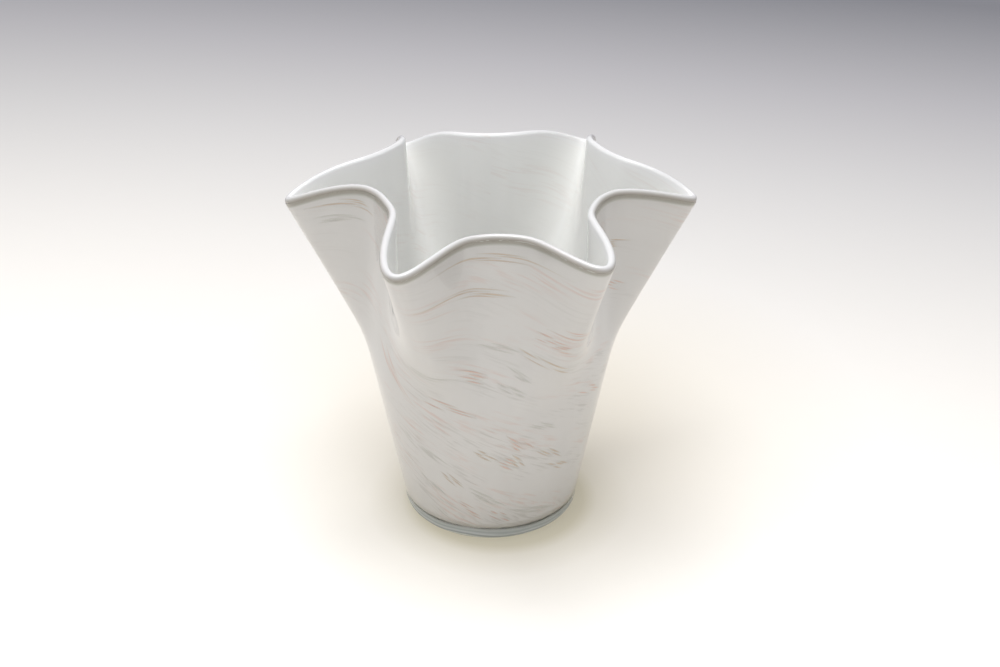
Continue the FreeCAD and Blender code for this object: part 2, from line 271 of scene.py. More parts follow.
@dataclass
class Skin:
    """A closed skin of rings round the axis, from a pole at one end to a pole at the other."""

    wall: Wall
    columns: int = 432
    rows: list[Row] = field(default_factory=list)

    @property
    def around(self) -> np.ndarray:
        """The angle of each column, starting at the back, where the finish has its join."""
        return np.arange(self.columns) * FULL_TURN / self.columns + QUARTER_TURN

    def level(self, radius: float, height: float, along: float) -> None:
        """Adds a level round ring.

        Args:
            radius: The ring's radius.
            height: Its height above the floor.
            along: Where it lies in the finish.
        """
        angle = self.around
        flat = np.full_like(angle, height)
        points = np.stack([radius * np.cos(angle), radius * np.sin(angle), flat], axis=-1)
        self.rows.append(Row(points, along))

    def disc(self, radius: float, height: float, shares: tuple[float, ...], along: float,
             fall: float = 0.0) -> None:
        """Adds the level rings of a floor.

        Args:
            radius: The floor's radius.
            height: Its height above the ground.
            shares: The rings' shares of the radius.
            along: Where its middle lies in the finish.
            fall: How much less its edge's place in the finish is.
        """
        for share in shares:
            self.level(radius * share, height, along - fall * share)

    def corner(self, edge: float, radius: float, floor: float, maps: tuple[float, float],
               steps: list[float]) -> None:
        """Adds the rounded corner between a floor and the wall.

        Args:
            edge: The wall's radius above the corner.
            radius: The corner's own radius.
            floor: The floor's height.
            maps: Where its foot and its top lie in the finish.
            steps: Shares of the way from its foot to its top.
        """
        foot, top = maps
        for share in steps:
            turn = QUARTER_TURN * share
            self.level(edge - radius + radius * math.sin(turn), floor + radius * (1 - math.cos(turn)),
                       foot + (top - foot) * share)

    def wall_ring(self, rise: float, out: float, up: float = 0.0, along: float | None = None) -> None:
        """Adds a ring offset from the wall's middle.

        Args:
            rise: The ring's rise.
            out: Distance square to the wall.
            up: Distance along the wall.
            along: Where it lies in the finish, if not at its rise.
        """
        angle = self.around
        points = self.wall.point(angle, np.full_like(angle, rise), out, up)
        self.rows.append(Row(points, rise if along is None else along))

    def mesh(self, name: str) -> bpy.types.Mesh:
        """Joins the rings into one closed mesh, with a map of turn and rise.

        Args:
            name: The mesh's name.

        Returns:
            The mesh, smooth shaded.
        """
        count = self.columns
        rings = self.rows
        points = [ring.points for ring in rings]
        first_pole = points[0].mean(axis=0)
        last_pole = points[-1].mean(axis=0)
        vertices = np.concatenate([*points, [first_pole], [last_pole]])
        first = len(rings) * count
        last = first + 1
        faces: list[tuple[int, ...]] = []
        turns: list[tuple[float, float]] = []
        for row in range(len(rings) - 1):
            low, high = row * count, (row + 1) * count
            for column in range(count):
                onward = (column + 1) % count
                faces.append((low + column, low + onward, high + onward, high + column))
                left, right = column / count, (column + 1) / count
                below, above = rings[row].along, rings[row + 1].along
                turns += [(left, below), (right, below), (right, above), (left, above)]
        end = (len(rings) - 1) * count
        for column in range(count):
            onward = (column + 1) % count
            left, right = column / count, (column + 1) / count
            faces.append((first, onward, column))
            turns += [(left, rings[0].along), (right, rings[0].along), (left, rings[0].along)]
            faces.append((last, end + column, end + onward))
            turns += [(left, rings[-1].along), (left, rings[-1].along), (right, rings[-1].along)]
        mesh = bpy.data.meshes.new(name)
        mesh.from_pydata(vertices.tolist(), [], faces)
        layer = mesh.uv_layers.new(name="turn_and_rise")
        layer.data.foreach_set("uv", np.array(turns, np.float32).ravel())
        mesh.polygons.foreach_set("use_smooth", [True] * len(mesh.polygons))
        mesh.update()
        return mesh


def rises(start: float, end: float, count: int) -> list[float]:
    """Evenly spaced rises or shares, the ends included.

    Args:
        start: The first.
        end: The last.
        count: How many.

    Returns:
        All of them.
    """
    return [start + (end - start) * index / (count - 1) for index in range(count)]


def show(mesh: bpy.types.Mesh, material: bpy.types.Material, slot: str, *nodes: str) -> bpy.types.Object:
    """Puts a mesh in the scene as a piece of the vase.

    Args:
        mesh: The piece's mesh, named as the piece.
        material: Its finish.
        slot: The record's material slot; not used.
        nodes: The CAD nodes that it stands for.

    Returns:
        The new object.
    """
    piece = bpy.data.objects.new(mesh.name, mesh)
    bpy.context.scene.collection.objects.link(piece)
    mesh.materials.append(material)
    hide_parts(*nodes)
    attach(piece, BODY)
    return piece


@dataclass(frozen=True)
class Grain:
    """A noise: how fine it is, how many finer layers it has, and how strong they are."""

    fineness: float = 1.0
    layers: float = 2.0
    strength: float = 0.5


@dataclass(frozen=True)
class Flow:
    """Lines that fall to the right round the wall.

    The slant is their angle. Length and breadth say how many of each fit the wall's height below the waist.
    """

    slant: float
    length: float
    breadth: float


@dataclass(frozen=True)
class Ripple:
    """Soft ripples of blown glass: their lines, noise, strength from 0 to 1 and height in metres."""

    flow: Flow
    grain: Grain
    strength: float
    height: float


class Painter:
    """A material's node tree, with short calls that add and join nodes."""

    def __init__(self, name: str) -> None:
        """Starts an empty material.

        Args:
            name: The material's name.
        """
        self.material = bpy.data.materials.new(name)
        self.material.use_nodes = True
        self.tree = self.material.node_tree
        self.tree.nodes.clear()
        self.output = self.node("ShaderNodeOutputMaterial")

    def node(self, kind: str, **settings: object) -> bpy.types.Node:
        """Adds a node.

        Args:
            kind: The node's type.
            settings: Its own properties.

        Returns:
            The node.
        """
        made = self.tree.nodes.new(kind)
        for name, value in settings.items():
            setattr(made, name, value)
        return made

    def join(self, source: Socket, target: Socket) -> None:
        """Links an output to an input."""
        self.tree.links.new(source, target)

    def math(self, operation: str, *values: object) -> Socket:
        """A sum of sockets or plain numbers.

        Args:
            operation: The sum's name.
            values: Its inputs.

        Returns:
            The result's socket.
        """
        made = self.node("ShaderNodeMath", operation=operation)
        for index, value in enumerate(values):
            if isinstance(value, Socket):
                self.join(value, made.inputs[index])
            else:
                made.inputs[index].default_value = value
        return made.outputs[0]

    def ramp(self, factor: Socket, stops: list[tuple[float, Ink]]) -> Socket:
        """Colours laid along a factor.

        Args:
            factor: The factor's socket.
            stops: Places from 0 to 1, and their colours.

        Returns:
            The colour's socket.
        """
        if stops[0][0] > 0:
            stops = [(0.0, stops[0][1]), *stops]
        made = self.node("ShaderNodeValToRGB")
        elements = made.color_ramp.elements
        while len(elements) < len(stops):
            elements.new(0.5)
        for element, (place, colour) in zip(elements, stops):
            element.position = place
            element.color = colour
        self.join(factor, made.inputs[0])
        return made.outputs[0]

    def tones(self, factor: Socket, stops: Tones, unit: float = 1.0) -> Socket:
        """Screen colours laid along a factor.

        Args:
            factor: The factor's socket.
            stops: Places, and their colours as seen on screen.
            unit: What 1 of the stops' places is on the factor.

        Returns:
            The colour's socket.
        """
        return self.ramp(factor, [(place * unit, linear(*tone)) for place, tone in stops])

    def shares(self, factor: Socket, stops: Stops, unit: float = 1.0) -> Socket:
        """Shares laid along a factor.

        Args:
            factor: The factor's socket.
            stops: Places, and their shares from 0 to 1.
            unit: What 1 of the stops' places is on the factor.

        Returns:
            The share's socket.
        """
        return self.ramp(factor, [(place * unit, (share, share, share, 1.0)) for place, share in stops])

    def mix(self, factor: object, first: object, second: object) -> Socket:
        """A blend of two colours.

        Args:
            factor: A socket or number, 0 for the first colour.
            first: A colour or its socket.
            second: A colour or its socket.

        Returns:
            The colour's socket.
        """
        made = self.node("ShaderNodeMix", data_type="RGBA")
        for index, value in ((MIX_FACTOR, factor), (MIX_FIRST, first), (MIX_SECOND, second)):
            if isinstance(value, Socket):
                self.join(value, made.inputs[index])
            else:
                made.inputs[index].default_value = value
        return made.outputs[MIX_RESULT]

    def blend(self, factor: Socket, first: bpy.types.Node, second: bpy.types.Node) -> bpy.types.Node:
        """A blend of two shaders.

        Args:
            factor: The factor's socket, 0 for the first shader.
            first: A shader.
            second: Another.

        Returns:
            The blend's node.
        """
        made = self.node("ShaderNodeMixShader")
        for index, source in enumerate((factor, first.outputs[0], second.outputs[0])):
            self.join(source, made.inputs[index])
        return made

    def rays(self, *kinds: str) -> Socket:
        """Tells the rays of some kinds from the others.

        Args:
            kinds: The kinds, as the light path names them.

        Returns:
            A socket, 1 on such a ray.
        """
        path = self.node("ShaderNodeLightPath")
        found = path.outputs[kinds[0]]
        for kind in kinds[1:]:
            found = self.math("MAXIMUM", found, path.outputs[kind])
        return found

    def coordinates(self, source: str) -> Socket:
        """The coordinates of a kind, such as UV or Object."""
        return self.node("ShaderNodeTexCoord").outputs[source]

    def axes(self, place: Socket) -> list[Socket]:
        """The three axes of some coordinates."""
        split = self.node("ShaderNodeSeparateXYZ")
        self.join(place, split.inputs[0])
        return list(split.outputs)

    def away(self, place: Socket, middle: Place) -> Socket:
        """How far some coordinates are from a middle, in metres."""
        made = self.node("ShaderNodeVectorMath", operation="DISTANCE")
        self.join(place, made.inputs[0])
        made.inputs[1].default_value = middle
        return made.outputs["Value"]

    def stretched(self, scale: Place, turned: float = 0.0, source: str = "UV") -> Socket:
        """Coordinates stretched and turned for a streaky pattern.

        Args:
            scale: Scale on each axis.
            turned: Turn in the plane of the map.
            source: Which coordinates to use.

        Returns:
            The coordinates' socket.
        """
        mapping = self.node("ShaderNodeMapping")
        mapping.inputs["Scale"].default_value = scale
        mapping.inputs["Rotation"].default_value = (0.0, 0.0, turned)
        self.join(self.coordinates(source), mapping.inputs["Vector"])
        return mapping.outputs[0]

    def flow(self, flow: Flow) -> Socket:
        """Coordinates that run along falling lines.

        Args:
            flow: The lines.

        Returns:
            The coordinates' socket.
        """
        round_to_height = 4.0
        turned = self.stretched((round_to_height, 1.0, 1.0), turned=flow.slant)
        drawn = self.node("ShaderNodeMapping")
        drawn.inputs["Scale"].default_value = (flow.length, flow.breadth, 1.0)
        self.join(turned, drawn.inputs["Vector"])
        return drawn.outputs[0]

    def noise(self, place: Socket, grain: Grain) -> Socket:
        """Smooth noise, about 0.5 on average.

        Args:
            place: The coordinates' socket.
            grain: How fine and rough it is.

        Returns:
            The noise's socket.
        """
        made = self.node("ShaderNodeTexNoise")
        made.inputs["Scale"].default_value = grain.fineness
        made.inputs["Detail"].default_value = grain.layers
        made.inputs["Roughness"].default_value = grain.strength
        self.join(place, made.inputs["Vector"])
        return made.outputs["Fac"]

    def bump(self, ripple: Ripple) -> Socket:
        """A bump of soft ripples.

        Args:
            ripple: The ripples.

        Returns:
            The normal's socket.
        """
        made = self.node("ShaderNodeBump")
        made.inputs["Strength"].default_value = ripple.strength
        made.inputs["Distance"].default_value = ripple.height
        self.join(self.noise(self.flow(ripple.flow), ripple.grain), made.inputs["Height"])
        return made.outputs["Normal"]

    def done(self, shader: bpy.types.Node) -> bpy.types.Material:
        """Joins the last shader to the material.

        Args:
            shader: The shader.

        Returns:
            The material.
        """
        self.join(shader.outputs[0], self.output.inputs["Surface"])
        return self.material


@dataclass(frozen=True)
class OpalGlass:
    """White opal glass: milky, glossy, with faint threads that fall to the right under the clear casing.

    Stops and edges with a place on the wall's map have it in the map's rise.
    """

    white: Colour = (212, 208, 206)
    shade: Colour = (199, 196, 194)
    # Painted light: inside the cup the opal is painted lighter than outside, for the light that fills it.
    inner: Colour = (234, 234, 231)
    # Painted light on the inner side of the lip's round, over the shade under it.
    painted_lip_light: Colour = (232, 232, 231)
    # Painted shade: the inside darkens to this down in the well.
    well: Colour = (186, 186, 184)
    # Painted shade: the lip's round is darker than the opal inside and out, taking off the light on its top.
    lip: Colour = (203, 202, 202)
    smoke: Colour = (166, 161, 155)
    blush: Colour = (201, 166, 154)
    # Painted shade under the lip: a dark line below it, and the lower outer side of its round.
    painted_shade_below_lip: Colour = (160, 155, 146)
    # The clear band under the lip is real; its grey-green tone here is painted shade, for the darker view
    # through the clear glass.
    clear_band: Colour = (184, 183, 175)
    roughness: float = 0.09
    cloud_roughness: float = 0.06
    glow: float = 0.12
    glow_depth: float = 0.004
    glow_reach: Place = (1.0, 0.95, 0.9)
    cloud: Grain = Grain(14.0, 3.0, 0.55)
    cloud_share: float = 0.7
    ripple: Ripple = Ripple(Flow(0.3, 1.5, 5.0), Grain(), 0.12, 0.0006)
    smoke_flow: Flow = Flow(0.46, 6.0, 62.0)
    smoke_spread: float = 0.62
    blush_flow: Flow = Flow(0.40, 6.0, 52.0)
    blush_spread: float = 0.50
    thread: Grain = Grain(1.0, 3.0, 0.55)
    thread_edge: Stops = ((0.50, 0.0), (0.64, 1.0))
    patch_length: float = 2.2
    patch_breadth: float = 5.0
    patch_edge: float = 0.62
    patch_spread: float = 0.25
    patch_softness: float = 0.14
    thread_depth: float = 0.12
    outer_thread_depth: float = 0.30
    smoke_fade: Stops = ((0.96, 1.0), (1.44, 0.3))
    # Where the painted shade in the well starts and where it is full.
    painted_well_shade_edge: tuple[float, float] = (3.2, 3.72)
    past_lip: Stops = ((2.09, 0.0), (2.18, 1.0))
    # Where the painted shade below the lip gives way to the lip, and the lip to the painted light on its inner
    # side.
    lip_edge: tuple[float, float] = (2.022, 2.044)
    painted_lip_light_edge: tuple[float, float] = (2.058, 2.076)
    # Where the clear band's painted tone and the painted shade line under the lip lie.
    band: Stops = ((1.94, 0.0), (1.952, 0.8), (1.996, 0.7), (2.002, 0.0))
    line: Stops = ((1.96, 0.0), (1.97, 1.0), (2.016, 1.0), (2.022, 0.0))

    def threads(self, paint: Painter, flow: Flow, spread: float) -> Socket:
        """Fine drawn-out threads in patches.

        Args:
            paint: The material being built.
            flow: The threads' lines.
            spread: How much of the glass they cover, 0 to 1.

        Returns:
            The share of thread, 0 to 1.
        """
        lines = paint.shares(paint.noise(paint.flow(flow), self.thread), self.thread_edge)
        patches = paint.noise(paint.flow(Flow(flow.slant, self.patch_length, self.patch_breadth)), Grain())
        edge = self.patch_edge - self.patch_spread * spread
        patches = paint.shares(patches, ((edge, 0.0), (edge + self.patch_softness, 1.0)))
        return paint.math("MULTIPLY", lines, patches)

    def body(self, paint: Painter, cloud: Socket, way: Socket, outside: Socket) -> Socket:
        """The glass's own colour outside, painted lighter inside, with painted shade down in the well and
        painted light and shade on the lip.

        Args:
            paint: The material being built.
            cloud: The clouds in the glass.
            way: The map's rise as a share.
            outside: 1 outside.

        Returns:
            The colour's socket.
        """
        cloudy = paint.math("MULTIPLY", cloud, self.cloud_share)
        outer = paint.mix(cloudy, linear(*self.white), linear(*self.shade))
        # Painted light and shade inside: lighter than the outside, darkening down in the well.
        high, low = self.painted_well_shade_edge
        inner = paint.tones(way, ((high, self.inner), (low, self.well)), MAP_SHARE)
        colour = paint.mix(outside, inner, outer)
        past_lip = paint.shares(way, self.past_lip, MAP_SHARE)
        on_lip = paint.math("SUBTRACT", paint.math("SUBTRACT", 1.0, outside), past_lip)
        # Painted light and shade on the lip: dark on its lower outer side, darker on top, lighter on its inner
        # side.
        lip_low, lip_high = self.lip_edge
        over, behind = self.painted_lip_light_edge
        lip = paint.tones(way, ((lip_low, self.painted_shade_below_lip), (lip_high, self.lip), (over, self.lip),
                                (behind, self.painted_lip_light)), MAP_SHARE)
        return paint.mix(on_lip, colour, lip)

    def drawn(self, paint: Painter, colour: Socket, way: Socket, outside: Socket) -> Socket:
        """Lays the faint threads over the glass's colour.

        Args:
            paint: The material being built.
            colour: The colour under them.
            way: The map's rise as a share.
            outside: 1 outside, where they show more.

        Returns:
            The colour's socket.
        """
        smoke = self.threads(paint, self.smoke_flow, self.smoke_spread)
        blush = self.threads(paint, self.blush_flow, self.blush_spread)
        depth = paint.math("MULTIPLY_ADD", outside, self.outer_thread_depth, self.thread_depth)
        smoke = paint.math("MULTIPLY", smoke, paint.shares(way, self.smoke_fade, MAP_SHARE))
        colour = paint.mix(paint.math("MULTIPLY", smoke, depth), colour, linear(*self.smoke))
        return paint.mix(paint.math("MULTIPLY", blush, depth), colour, linear(*self.blush))

    def material(self) -> bpy.types.Material:
        """Builds the finish.

        Returns:
            The material.
        """
        paint = Painter("opal_glass")
        shader = paint.node("ShaderNodeBsdfPrincipled")
        cloud = paint.noise(paint.stretched(EVEN, source="Object"), self.cloud)
        _, rise, _ = paint.axes(paint.coordinates("UV"))
        way = paint.math("MULTIPLY", rise, MAP_SHARE)
        outside = paint.math("LESS_THAN", rise, RIM)
        colour = self.drawn(paint, self.body(paint, cloud, way, outside), way, outside)
        # Painted shade at the top of the opal: the clear band's grey-green tone, and a dark line just under
        # the lip.
        colour = paint.mix(paint.shares(way, self.band, MAP_SHARE), colour, linear(*self.clear_band))
        colour = paint.mix(paint.shares(way, self.line, MAP_SHARE), colour, linear(*self.painted_shade_below_lip))
        paint.join(colour, shader.inputs["Base Color"])
        gloss = paint.math("MULTIPLY_ADD", cloud, self.cloud_roughness, self.roughness)
        paint.join(gloss, shader.inputs["Roughness"])
        shader.inputs["Subsurface Weight"].default_value = self.glow
        shader.inputs["Subsurface Scale"].default_value = self.glow_depth
        shader.inputs["Subsurface Radius"].default_value = self.glow_reach
        shader.inputs["IOR"].default_value = GLASS_REFRACTION
        paint.join(paint.bump(self.ripple), shader.inputs["Normal"])
        return paint.done(shader)


@dataclass(frozen=True)
class ClearGlass:
    """Clear glass that lets lamps through to the opal, with soft ripples and, in the foot, painted light and
    shade: light streaks and dark lines for the view refracted through it.
    """

    tint: Colour = (250, 251, 249)
    roughness: float = 0.01
    wear_roughness: float = 0.03
    wear: Grain = Grain(45.0, 3.0, 0.6)
    ripple: Ripple = Ripple(Flow(0.25, 1.5, 6.0), Grain(1.0, 3.0, 0.5), 0.10, 0.0005)
    # Painted light and shade in the foot: a paler, rougher layer with light streaks and dark lines, for the
    # view refracted through the clear foot.
    foot_paint_share: float = 0.85
    foot_paint_roughness: float = 0.05
    foot_line_height: float = 1 / 88
    foot_paint_fade: Stops = ((0.0, 1.0), (0.70, 0.95), (1.0, 0.0))
    sway: float = 0.56
    sway_grain: Grain = Grain(1.0, 3.0, 0.6)
    sway_scale: Place = (16.0, 16.0, 50.0)
    painted_foot_lines: Tones = (
        (0.00, (196, 204, 194)), (0.06, (166, 174, 165)), (0.14, (240, 242, 238)), (0.24, (234, 237, 233)),
        (0.33, (158, 165, 166)), (0.46, (214, 218, 218)), (0.60, (174, 180, 179)), (0.80, (218, 221, 218)),
    )

    def material(self) -> bpy.types.Material:
        """Builds the finish.

        Returns:
            The material.
        """
        paint = Painter("clear_glass")
        glass = paint.node("ShaderNodeBsdfPrincipled")
        glass.inputs["Base Color"].default_value = linear(*self.tint)
        glass.inputs["Transmission Weight"].default_value = 1.0
        glass.inputs["IOR"].default_value = GLASS_REFRACTION
        wear = paint.noise(paint.stretched(EVEN, source="Object"), self.wear)
        gloss = paint.math("MULTIPLY_ADD", wear, self.wear_roughness, self.roughness)
        paint.join(gloss, glass.inputs["Roughness"])
        paint.join(paint.bump(self.ripple), glass.inputs["Normal"])
        # The painted foot layer: light streaks and dark lines laid by height and swayed by noise.
        milky = paint.node("ShaderNodeBsdfPrincipled")
        milky.inputs["Roughness"].default_value = self.foot_paint_roughness
        _, _, height = paint.axes(paint.coordinates("Object"))
        sway = paint.noise(paint.stretched(self.sway_scale, source="Object"), self.sway_grain)
        sway = paint.math("MULTIPLY_ADD", sway, self.sway, -self.sway / 2)
        height = paint.math("MULTIPLY_ADD", height, 1 / self.foot_line_height, sway)
        paint.join(paint.tones(height, self.painted_foot_lines), milky.inputs["Base Color"])
        low = paint.math("MULTIPLY", paint.shares(height, self.foot_paint_fade), self.foot_paint_share)
        body = paint.blend(low, glass, milky)
        open_way = paint.node("ShaderNodeBsdfTransparent")
        open_way.inputs["Color"].default_value = linear(*self.tint)
        return paint.done(paint.blend(paint.rays("Is Shadow Ray", "Is Diffuse Ray"), body, open_way))


@dataclass(frozen=True)
class ThreadGlass:
    """Coloured glass drawn out into fine hairs, fading into the opal towards a hair's ends and edges."""

    name: str
    deep: Colour
    pale: Colour = (205, 202, 197)
    depth: float = 1.36
    end_fade: float = 1.3
    grain: Grain = Grain(3.0, 3.0, 0.6)
    grain_scale: Place = (5.0, 1.0, 1.0)
    roughness: float = 0.1
    grain_roughness: float = 0.2

    def material(self) -> bpy.types.Material:
        """Builds the finish.

        Returns:
            The material.
        """
        paint = Painter(self.name)
        shader = paint.node("ShaderNodeBsdfPrincipled")
        along, across, _ = paint.axes(paint.coordinates("UV"))
        middle = paint.math("SINE", paint.math("MULTIPLY", along, math.pi))
        grain = paint.noise(paint.stretched(self.grain_scale), self.grain)
        across = paint.math("SINE", paint.math("MULTIPLY", paint.math("FRACT", across), math.pi))
        depth = paint.math("MULTIPLY", paint.math("POWER", middle, self.end_fade), grain)
        depth = paint.math("MULTIPLY", paint.math("MULTIPLY", depth, across), self.depth)
        paint.join(paint.mix(depth, linear(*self.pale), linear(*self.deep)), shader.inputs["Base Color"])
        gloss = paint.math("MULTIPLY_ADD", grain, self.grain_roughness, self.roughness)
        paint.join(gloss, shader.inputs["Roughness"])
        shader.inputs["IOR"].default_value = GLASS_REFRACTION
        return paint.done(shader)


@dataclass
class OpalLining:
    """The white inner cup with its round lip."""

    wall: Wall
    finish: OpalGlass
    lip_step_share: float = 0.1
    undercut_share: float = 0.7
    contact_drop_share: float = 0.1
    floor_shares: tuple[float, ...] = (0.25, 0.5, 0.75)
    floor_map: float = -0.3
    corner_map: float = 0.15
    undercut_maps: tuple[float, float] = (1.96, 1.98)
    bead_map: float = 2.02
    bead_map_length: float = 0.06
    well_map: float = 4.3
    well_map_length: float = 0.2
    corner_steps: int = 12
    body_steps: int = 30
    lobe_steps: int = 60
    bead_steps: int = 16

    @property
    def bead_out(self) -> float:
        """How far out the lip reaches from the wall's middle."""
        return self.wall.half - self.lip_step_share * self.wall.wall_glass

    @property
    def bead_radius(self) -> float:
        """The radius of the lip's round."""
        return (self.bead_out + self.wall.half) / 2

    @property
    def bead_middle(self) -> float:
        """Where the middle of the lip's round lies."""
        return self.bead_out - self.bead_radius

    @property
    def drop(self) -> float:
        """How far under the lip's top the clear casing's edge touches it."""
        return self.bead_radius + self.contact_drop_share * self.wall.wall_glass

    def skin(self) -> Skin:
        """The lining's rings, from under its floor, up outside, over the lip, and down to its floor."""
        wall = self.wall
        skin = Skin(wall)
        corner = wall.floor_corner - wall.wall_glass
        edge = wall.radius_at(wall.foot_glass + corner, wall.layer_out)
        skin.disc(edge - corner, wall.foot_glass, self.floor_shares, self.floor_map)
        skin.corner(edge, corner, wall.foot_glass, (0.0, self.corner_map), rises(0, 1, self.corner_steps + 1))
        start = (wall.foot_glass + corner) / wall.waist_height
        for rise in rises(start, WAIST, self.body_steps)[1:] + rises(WAIST, LAST_RING, self.lobe_steps)[1:]:
            skin.wall_ring(rise, wall.layer_out)
        undercut = self.undercut_share * wall.wall_glass
        low, high = self.undercut_maps
        skin.wall_ring(RIM, wall.layer_out, -self.bead_radius - undercut, low)
        skin.wall_ring(RIM, (wall.layer_out + self.bead_out) / 2, -self.bead_radius - undercut / 2, high)
        skin.wall_ring(RIM, self.bead_out, -self.drop, RIM)
        for index in range(self.bead_steps + 1):
            turn = math.pi * index / self.bead_steps
            skin.wall_ring(RIM, self.bead_middle + self.bead_radius * math.cos(turn),
                           self.bead_radius * (math.sin(turn) - 1),
                           self.bead_map + self.bead_map_length * index / self.bead_steps)
        floor = wall.foot_glass + wall.opal_floor
        inner = (floor + wall.floor_corner) / wall.waist_height
        for rise in rises(LAST_RING, WAIST, self.lobe_steps) + rises(WAIST, inner, self.body_steps)[1:-1]:
            skin.wall_ring(rise, -wall.half, along=INSIDE_MAP - rise)
        edge = wall.radius_at(floor + wall.floor_corner, -wall.half)
        skin.corner(edge, wall.floor_corner, floor, (INSIDE_MAP, INSIDE_MAP - inner),
                    rises(1, 0, self.corner_steps + 1))
        well_shares = self.floor_shares[::-1]
        skin.disc(edge - wall.floor_corner, floor, well_shares, self.well_map, self.well_map_length)
        return skin

    def build(self) -> bpy.types.Object:
        """Makes the piece.

        Returns:
            The object.
        """
        mesh = self.skin().mesh("opal_lining_blown")
        piece = show(mesh, self.finish.material(), "opal_glass", "opal_lining")
        LOG.info("opal lining: %d faces", len(mesh.polygons))
        return piece


@dataclass
class ClearCasing:
    """The clear outer cup on its thick foot, run a little way into the opal so that no air lies between.

    Each of its edge's rows is in tucks: how far in from the wall's face, and how far under the lip's contact.
    """

    wall: Wall
    lining: OpalLining
    finish: ClearGlass
    bite: float = 0.0004
    edge_tuck_share: float = 0.06
    edge_rows: Stops = ((0.0, 6.0), (0.0, 3.0), (0.25, 1.6), (0.5, 1.0))
    touch: float = 0.25
    foot_shares: tuple[float, ...] = (0.3, 0.6, 0.85)
    foot_map: float = -0.3
    heel_map: float = 0.04
    inner_corner_map: float = 0.1
    inner_floor_shares: tuple[float, ...] = (0.75, 0.5, 0.25)
    inner_floor_map: float = -0.2
    heel_steps: int = 10
    corner_steps: int = 10
    body_steps: int = 24
    lobe_steps: int = 60

    def skin(self) -> Skin:
        """The casing's rings, from the flat foot up outside, over its edge, and down inside to its floor."""
        wall, lining = self.wall, self.lining
        skin = Skin(wall)
        top = wall.radius_at(wall.foot_glass, wall.half)
        flat = top - wall.heel_radius
        skin.disc(flat, 0.0, self.foot_shares, self.foot_map)
        for index in range(self.heel_steps + 1):
            turn = -QUARTER_TURN + (QUARTER_TURN - wall.flare) * index / self.heel_steps
            skin.level(flat + wall.heel_radius * math.cos(turn), wall.heel_radius * (1 + math.sin(turn)),
                       self.heel_map * index / self.heel_steps)
        start = wall.foot_glass / wall.waist_height
        for rise in rises(start, WAIST, self.body_steps) + rises(WAIST, LAST_RING, self.lobe_steps)[1:]:
            skin.wall_ring(rise, wall.half)
        tuck = self.edge_tuck_share * wall.wall_glass
        for inward, under in self.edge_rows:
            skin.wall_ring(RIM, wall.half - tuck * inward, -lining.drop - tuck * under)
        skin.wall_ring(RIM, lining.bead_out - self.bite / 2, -lining.drop + tuck * self.touch)
        undercut = lining.undercut_share * wall.wall_glass
        inner = wall.layer_out - self.bite
        skin.wall_ring(RIM, (inner + lining.bead_out) / 2, -lining.bead_radius - undercut / 2)
        skin.wall_ring(RIM, inner, -lining.bead_radius - undercut)
        corner = wall.floor_corner - wall.wall_glass
        floor = wall.foot_glass + self.bite
        low = (floor + corner) / wall.waist_height
        for rise in rises(LAST_RING, WAIST, self.lobe_steps) + rises(WAIST, low, self.body_steps)[1:-1]:
            skin.wall_ring(rise, inner)
        edge = wall.radius_at(floor + corner, inner)
        maps = (self.inner_corner_map, self.inner_corner_map)
        skin.corner(edge, corner, floor, maps, rises(1, 0, self.corner_steps + 1))
        skin.disc(edge - corner, floor, self.inner_floor_shares, self.inner_floor_map)
        return skin

    def build(self) -> bpy.types.Object:
        """Makes the piece.

        Returns:
            The object.
        """
        mesh = self.skin().mesh("clear_casing_blown")
        piece = show(mesh, self.finish.material(), "clear_glass", "clear_casing")
        LOG.info("clear casing: %d faces", len(mesh.polygons))
        return piece


class Hue(Enum):
    """The colours of the drawn-out streaks."""

    AMBER = "amber"
    ROSE = "rose"
    SMOKE = "smoke"


@dataclass(frozen=True)
class Streak:
    """One streak: where it starts and ends (degrees round the axis, rise), and its breadth share."""

    start_degrees: float
    start_rise: float
    end_degrees: float
    end_rise: float
    breadth_share: float


AMBER_STREAKS = (
    Streak(255, 1.89, 288, 1.86, 0.8),
    Streak(255, 1.69, 286, 1.64, 0.9),
    Streak(289, 1.28, 305, 1.16, 0.9),
    Streak(264, 0.64, 273, 0.59, 0.8),
    Streak(298, 0.62, 308, 0.54, 1.0),
    Streak(305, 0.50, 315, 0.44, 0.8),
    Streak(282, 0.59, 288, 0.53, 0.9),
    Streak(243, 0.46, 252, 0.39, 0.9),
    Streak(186, 1.91, 199, 1.88, 0.8),
    Streak(339, 1.72, 348, 1.69, 0.8),
    Streak(20, 1.20, 34, 1.08, 1.0),
    Streak(70, 0.62, 82, 0.54, 0.9),
    Streak(96, 1.50, 112, 1.42, 0.9),
    Streak(150, 0.86, 162, 0.77, 1.0),
)
ROSE_STREAKS = (
    Streak(209, 1.24, 227, 0.93, 1.2),
    Streak(255, 1.19, 269, 1.13, 1.3),
    Streak(241, 0.96, 257, 0.91, 1.2),
    Streak(291, 1.43, 297, 1.41, 1.0),
    Streak(298, 1.49, 312, 1.42, 1.0),
    Streak(296, 1.38, 304, 1.35, 0.9),
    Streak(281, 0.72, 290, 0.64, 1.3),
    Streak(273, 0.60, 283, 0.54, 1.3),
    Streak(253, 0.24, 265, 0.18, 1.1),
    Streak(272, 0.20, 281, 0.15, 1.1),
    Streak(319, 0.94, 333, 0.86, 1.0),
    Streak(344, 1.46, 352, 1.40, 1.0),
    Streak(44, 0.44, 56, 0.36, 1.2),
    Streak(124, 1.16, 136, 1.05, 1.1),
)
